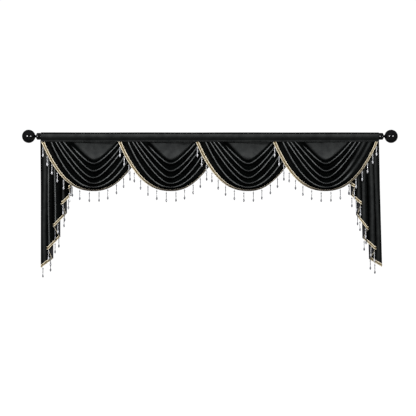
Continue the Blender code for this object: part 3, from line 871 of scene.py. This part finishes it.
class Band:
    """The hem band that a braid covers: hem, top edge and outward normal, by distance along the hem."""

    def __init__(self, hem, top):
        along = np.gradient(hem, axis=0)
        self.hem = hem
        self.top = top
        self.normal = unit(np.cross(along, top - hem))
        steps = np.linalg.norm(np.diff(hem, axis=0), axis=1)
        self.lengths = np.concatenate([[0.0], np.cumsum(steps)])

    def read(self, values, where):
        return np.stack([np.interp(where, self.lengths, values[:, k]) for k in range(3)], axis=1)

    def place(self, where, share, lift):
        """Points along the band, a share of the way up from its lower rim and lifted off the cloth."""
        low = self.read(self.hem, where)
        high = self.read(self.top, where)
        low = low - unit(high - low) * BRAID_PAST_HEM
        normal = unit(self.read(self.normal, where))
        share = np.reshape(share, (-1, 1)) if np.ndim(share) else share
        lift = np.reshape(lift, (-1, 1)) if np.ndim(lift) else lift
        return mix(low, high, share) + normal * lift


def swag_band(swag):
    stations = swag_stations(BAND_STATIONS)
    hem = swag_line_points(swag, SWAG_LINES[0], stations)
    return Band(hem, swag_line_points(swag, SWAG_LINES[1], stations))


def tail_band(tail):
    hem = []
    top = []
    for column in tail_columns(tail):
        drop = tail_hem_drop(column)
        low, high = tail_points(tail, column, np.array([drop, drop - BRAID_WIDTH]))
        hem.append(low)
        top.append(high)
    return Band(np.array(hem), np.array(top))


def cords_object(name, runs, material):
    """Round cords through lists of points, each with a radius at every point, as one mesh."""
    curve = bpy.data.curves.new(name, "CURVE")
    curve.dimensions = "3D"
    curve.bevel_depth = 1.0
    curve.bevel_resolution = 1
    curve.use_fill_caps = True
    for points, radii in runs:
        spline = curve.splines.new("POLY")
        spline.points.add(len(points) - 1)
        spline.points.foreach_set("co", np.c_[points, np.ones(len(points))].ravel())
        spline.points.foreach_set("radius", radii)
        spline.use_smooth = True
    curve.materials.append(material)
    return settle(link(bpy.data.objects.new(name, curve)))


def make_braid(name, band, finishes):
    """A ribbon with cream and gold cords along it and two more gold cords crossing down its middle."""
    where = np.arange(0.0, band.lengths[-1], BRAID_STEP)
    runs = {"cream": [], "gold": []}
    for cord in BRAID_CORDS:
        points = band.place(where, cord.share, cord.lift)
        swell = np.abs(np.sin(math.pi * where / cord.pitch))
        runs[cord.finish].append((points, cord.radius * (1.0 - cord.scallop + cord.scallop * swell)))
    cream = cords_object(name + "_cords", runs["cream"], finishes["cream"])
    width = BRAID_WIDTH + BRAID_PAST_HEM
    for phase in (0.0, math.pi):
        turn = 2.0 * math.pi * where / PLAIT_PITCH + phase
        share = PLAIT_SHARE + PLAIT_SWING / width * np.sin(turn)
        lift = PLAIT_LIFT + PLAIT_RISE * np.cos(turn)
        runs["gold"].append((band.place(where, share, lift), np.full(len(where), PLAIT_RADIUS)))
    gold = cords_object(name + "_plait", runs["gold"], finishes["gold"])
    where = np.linspace(0.0, band.lengths[-1], round(band.lengths[-1] / RIBBON_STEP))
    shares = np.linspace(RIBBON_INSET_SHARE, 1.0 - RIBBON_INSET_SHARE, RIBBON_ROWS)
    points = np.array([band.place(where, share, RIBBON_LIFT) for share in shares])
    ribbon = grid_object(name + "_ribbon", points, [finishes["ribbon"]])
    settle(thicken(ribbon, RIBBON_THICKNESS, 1.0))
    return [ribbon, cream, gold]


def mesh_points(mesh):
    co = np.zeros(len(mesh.vertices) * 3)
    mesh.vertices.foreach_get("co", co)
    return co.reshape(-1, 3)


def paint_braid_shade(piece, swag):
    """Marks each point of the piece with how much painted shade its colour takes."""
    offsets = mesh_points(piece.data)[:, 0] - swag.axis_x
    shades = piece.data.attributes.new("shade", "FLOAT", "POINT")
    shades.data.foreach_set("value", np.interp(offsets, BRAID_SHADE_OFFSETS, BRAID_SHADES))


def strand_tips(node):
    """Where the solid's strands end: the middles of their small faces that look down."""
    tips = []
    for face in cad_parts[node].data.polygons:
        if face.normal.z > TIP_NORMAL_Z or face.area > TIP_AREA:
            continue
        if all((face.center - tip).length > TIP_SPACING for tip in tips):
            tips.append(face.center.copy())
    return tips


def strand_path(points, tip, band):
    """The strand's route from the braid's rim to its tip, through the middles of the solid's rings.

    A small face that looks down but has no rings above it is part of the rim, not a tip, and has no route.
    """
    z = tip.z + STRAND_LENGTH
    rim = band.place(band.lengths, 0.0, RIBBON_LIFT + RIBBON_THICKNESS)
    root = rim[np.argmin(np.linalg.norm(rim - np.array((tip.x, tip.y, z)), axis=1))]
    route = [(0.0, Vector((tip.x, root[1], z)))]
    for drop in STRAND_RING_DROPS:
        near = np.abs(points[:, 0] - tip.x) < RING_WITHIN_X
        near &= np.abs(points[:, 1] - tip.y) < RING_WITHIN_Y
        near &= np.abs(points[:, 2] - (z - drop)) < RING_WITHIN_Z
        if not near.any():
            return None
        route.append((drop, Vector((tip.x, float(points[near, 1].mean()), z - drop))))
    route.append((STRAND_LENGTH, Vector(tip)))
    return route


def read_route(route, drop):
    for (drop0, first), (drop1, second) in zip(route, route[1:]):
        if drop <= drop1:
            return first.lerp(second, (drop - drop0) / (drop1 - drop0))
    return route[-1][1]


def add_turned(bm, top, foot, rings, sides, turn):
    """A closed faceted turned body from top to foot, by (share of the way, radius) rings."""
    axis = foot - top
    loops = []
    for share, radius in rings:
        centre = top + axis * share
        loop = []
        for side in range(sides):
            angle = turn + 2.0 * math.pi * side / sides
            loop.append(bm.verts.new(centre + Vector((math.cos(angle), math.sin(angle), 0.0)) * radius))
        loops.append(loop)
    for upper, lower in zip(loops, loops[1:]):
        for side in range(sides):
            after = (side + 1) % sides
            bm.faces.new((upper[side], lower[side], lower[after], upper[after]))
    bm.faces.new(loops[0])
    bm.faces.new(loops[-1][::-1])


def bead_rings(bead):
    """Radii down one bead: a tube where it has no widest place, otherwise rounded to its ends."""
    if bead.widest == 0.0:
        end = bead.radius * TUBE_END_SHARE
        bevel = TUBE_BEVEL_SHARE
        return [(0.0, end), (bevel, bead.radius), (1.0 - bevel, bead.radius), (1.0, end)]
    rings = []
    for ring in range(BEAD_RINGS + 1):
        share = ring / BEAD_RINGS
        reach = share / bead.widest if share < bead.widest else (1.0 - share) / (1.0 - bead.widest)
        rings.append((share, bead.radius * max(BEAD_END_SHARE, math.sin(math.pi / 2 * reach))))
    return rings


def before_next_swag(swag, root):
    """How far a swag's strand hangs before other cloth: 1 beside its neighbour or a tail, 0 at its foot."""
    offset = root.x - swag.axis_x
    has_tail = swag is SWAGS[0] if offset < 0 else swag is SWAGS[-1]
    start = BEFORE_TAIL_FROM if has_tail else BEFORE_SWAG_FROM
    return float(ease((abs(offset) - start) / BEFORE_FADE))


def before_lower_pleat(tail, root):
    """1 where a tail's strand hangs before the pleat below its own, otherwise 0."""
    drop = CLOTH_TOP_Z - root.z
    inset = (root.x - tail.outer_x) * tail.inward + tail.flare * drop / tail.pleats[0].front_drop
    for lower, upper in zip(tail.pleats, tail.pleats[1:]):
        station = (inset - upper.front_x) / (upper.back_x - upper.front_x)
        hem = mix(upper.front_drop, upper.back_drop, station)
        if inset < lower.back_x and abs(drop - hem) < BEFORE_PLEAT_WITHIN:
            return 1.0
    return 0.0


def make_strands(name, band, before_cloth, finishes):
    """All the bead strands of one trim: a thread mesh and a cut-glass mesh."""
    points = mesh_points(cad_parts[name].data)
    threads = []
    painted_light_shares = []
    bm = bmesh.new()
    for number, tip in enumerate(strand_tips(name)):
        route = strand_path(points, tip, band)
        if route is None:
            continue
        drops = np.linspace(0.0, BEADS[-1].top + THREAD_INTO_LAST_BEAD, THREAD_POINTS)
        down = [tuple(read_route(route, drop)) for drop in drops]
        threads.append((down, np.full(THREAD_POINTS, THREAD_RADIUS)))
        first_vert = len(bm.verts)
        for bead in BEADS:
            top = read_route(route, bead.top)
            foot = read_route(route, bead.foot)
            add_turned(bm, top, foot, bead_rings(bead), bead.facets, number * BEAD_TURN)
        painted_light_shares += [before_cloth(route[0][1])] * (len(bm.verts) - first_vert)
    mesh = new_mesh(name + "_beads", bm)
    mesh.attributes.new("before_cloth", "FLOAT", "POINT").data.foreach_set("value", painted_light_shares)
    mesh.materials.append(finishes["glass"])
    beads = link(bpy.data.objects.new(name + "_beads", mesh))
    return [cords_object(name + "_threads", threads, finishes["cream"]), beads]


def make_trim(name, band, before_cloth, finishes, swag=None):
    """The braid and bead strands on one hem band. Only a swag's braid has painted shade."""
    braid = make_braid(name, band, finishes)
    strands = make_strands(name, band, before_cloth, finishes)
    for piece in braid:
        if swag is not None:
            paint_braid_shade(piece, swag)
        dress(piece, "braid", name)
    for piece in strands:
        dress(piece, "beads", name)
    return braid + strands


def make_cloth(name, node, finishes, points, painted_light_marks):
    cloth = grid_object(name, points, [finishes["pile"], finishes["back"]], painted_light_marks)
    return dress(settle(thicken(cloth, CLOTH, 0.0)), "velvet", node)


def turned(name, profile, material):
    """A profile of (radius, height) points, from the top down its outer side, turned about the object's Z."""
    bm = bmesh.new()
    verts = [bm.verts.new((radius, 0.0, height)) for radius, height in profile]
    for upper, lower in zip(verts, verts[1:]):
        bm.edges.new((upper, lower))
    mesh = new_mesh(name, bm)
    mesh.materials.append(material)
    obj = link(bpy.data.objects.new(name, mesh))
    screw = obj.modifiers.new("turn", "SCREW")
    screw.steps = TURNED_STEPS
    screw.render_steps = TURNED_STEPS
    screw.use_merge_vertices = True
    screw.merge_threshold = 0.0001
    screw.use_smooth_shade = True
    return obj


def ball_profile():
    """The ball, from its far side to the flat that stands on the neck."""
    flat_turn = math.pi - math.asin(NECK_RADIUS / BALL_RADIUS)
    profile = []
    for step in range(BALL_STEPS + 1):
        turn = flat_turn * (step / BALL_STEPS)
        profile.append((BALL_RADIUS * math.sin(turn), BALL_RADIUS * math.cos(turn)))
    return profile + [(0.0, BALL_RADIUS * math.cos(flat_turn))]


def collar_profile():
    """The collar, from the top of its neck over its shoulder to its bore."""
    bore = POLE_RADIUS + PIECE_GAP * 2
    depth = POLE_HALF_LENGTH - COLLAR_START + PIECE_GAP
    profile = [(0.0, COLLAR_LENGTH + NECK_LENGTH), (NECK_RADIUS, COLLAR_LENGTH + NECK_LENGTH)]
    for step in range(COLLAR_STEPS + 1):
        turn = math.pi / 2 * step / COLLAR_STEPS
        radius = mix(NECK_RADIUS, COLLAR_RADIUS, math.sin(turn))
        profile.append((radius, COLLAR_LENGTH - COLLAR_SHOULDER * (1.0 - math.cos(turn))))
    profile += [(COLLAR_RADIUS, COLLAR_EDGE), (COLLAR_RADIUS - COLLAR_EDGE, 0.0)]
    return profile + [(bore, 0.0), (bore, depth), (0.0, depth)]


def make_finial(side_name, side, material):
    collar = turned("collar_" + side_name, collar_profile(), material)
    collar.location = (side * COLLAR_START, 0.0, 0.0)
    ball = turned("ball_" + side_name, ball_profile(), material)
    flat_to_centre = math.sqrt(BALL_RADIUS**2 - NECK_RADIUS**2)
    reach = COLLAR_START + COLLAR_LENGTH + NECK_LENGTH + PIECE_GAP + flat_to_centre
    ball.location = (side * reach, 0.0, 0.0)
    for obj, node in ((collar, "finial_collar_"), (ball, "finial_ball_")):
        obj.rotation_euler = (0.0, side * math.pi / 2, 0.0)
        dress(settle(obj), "pole_black", node + side_name)


def make_pole(material):
    end = POLE_HALF_LENGTH
    half = [(0.0, end), (POLE_RADIUS - POLE_EDGE, end), (POLE_RADIUS, end - POLE_EDGE)]
    profile = half + [(radius, -height) for radius, height in reversed(half)]
    pole = turned("pole_rod", profile, material)
    pole.rotation_euler = (0.0, math.pi / 2, 0.0)
    dress(settle(pole), "pole_black", "pole")


def make_camera():
    camera = bpy.data.objects.new("camera", bpy.data.cameras.new("camera"))
    camera.data.lens = LENS
    camera.data.sensor_width = SENSOR
    camera.data.clip_end = 100.0
    distance = PICTURE_WIDTH * LENS / SENSOR
    camera.location = PICTURE_CENTRE + Vector((0.0, -distance, 0.0))
    camera.rotation_euler = (math.pi / 2, 0.0, 0.0)
    bpy.context.scene.camera = link(camera)


def make_light(light):
    around = math.radians(light.azimuth)
    up = math.radians(light.elevation)
    way = Vector((math.sin(around) * math.cos(up), -math.cos(around) * math.cos(up), math.sin(up)))
    box = link(bpy.data.objects.new(light.name, bpy.data.lights.new(light.name, "AREA")))
    box.data.shape = "RECTANGLE"
    box.data.size = light.width
    box.data.size_y = light.height
    box.data.energy = light.power
    box.location = LIGHTS_LOOK_AT + way * light.distance
    box.rotation_euler = (-way).to_track_quat("-Z", "Y").to_euler()
    box.visible_glossy = light.in_gloss


def make_stage():
    bm = bmesh.new()
    bmesh.ops.create_grid(bm, x_segments=1, y_segments=1, size=FLOOR_SIZE / 2)
    mesh = new_mesh("floor", bm)
    mesh.materials.append(floor_paint())
    floor = link(bpy.data.objects.new("floor", mesh))
    floor.location = (0.0, 0.0, FLOOR_Z)
    floor.visible_diffuse = False
    floor.visible_glossy = False
    world = bpy.data.worlds.new("studio")
    world.use_nodes = True
    nodes = world.node_tree.nodes
    links = world.node_tree.links
    background = nodes["Background"]
    background.inputs["Color"].default_value = (1.0, 1.0, 1.0, 1.0)
    rays = nodes.new("ShaderNodeLightPath")
    strength = nodes.new("ShaderNodeMapRange")
    strength.inputs["To Min"].default_value = WORLD_FILL
    strength.inputs["To Max"].default_value = WORLD_SEEN
    links.new(rays.outputs["Is Camera Ray"], strength.inputs["Value"])
    links.new(strength.outputs["Result"], background.inputs["Strength"])
    scene = bpy.context.scene
    scene.world = world
    scene.view_settings.view_transform = "Standard"


def main():
    make_camera()
    make_stage()
    for light in LIGHTS:
        make_light(light)

    finishes = {
        "pile": velvet_pile(),
        "back": velvet_back(),
        "gloss": black_gloss(),
        "glass": crystal(),
        "cream": braid_yarn("braid_cream", (0.50, 0.44, 0.32), (0.87, 0.80, 0.645)),
        "gold": braid_yarn("braid_gold", (0.12, 0.085, 0.032), (0.31, 0.24, 0.115)),
        "ribbon": braid_yarn("braid_ribbon", (0.03, 0.022, 0.010), (0.09, 0.068, 0.030)),
    }

    make_pole(finishes["gloss"])
    for side_name, side in (("left", -1), ("right", 1)):
        make_finial(side_name, side, finishes["gloss"])

    sleeve = make_cloth("sleeve_velvet", "heading_sleeve", finishes, *sleeve_cloth())

    for index, swag in enumerate(SWAGS):
        cloth = make_cloth(swag.name + "_velvet", swag.name, finishes, *swag_cloth(swag, index))
        name = swag.name.replace("swag", "swag_trim")
        trim = make_trim(name, swag_band(swag), partial(before_next_swag, swag), finishes, swag)

    for tail in TAILS:
        cloth = make_cloth(tail.name + "_velvet", tail.name, finishes, *tail_cloth(tail))
        name = tail.name.replace("tail", "tail_trim")
        trim = make_trim(name, tail_band(tail), partial(before_lower_pleat, tail), finishes)


main()
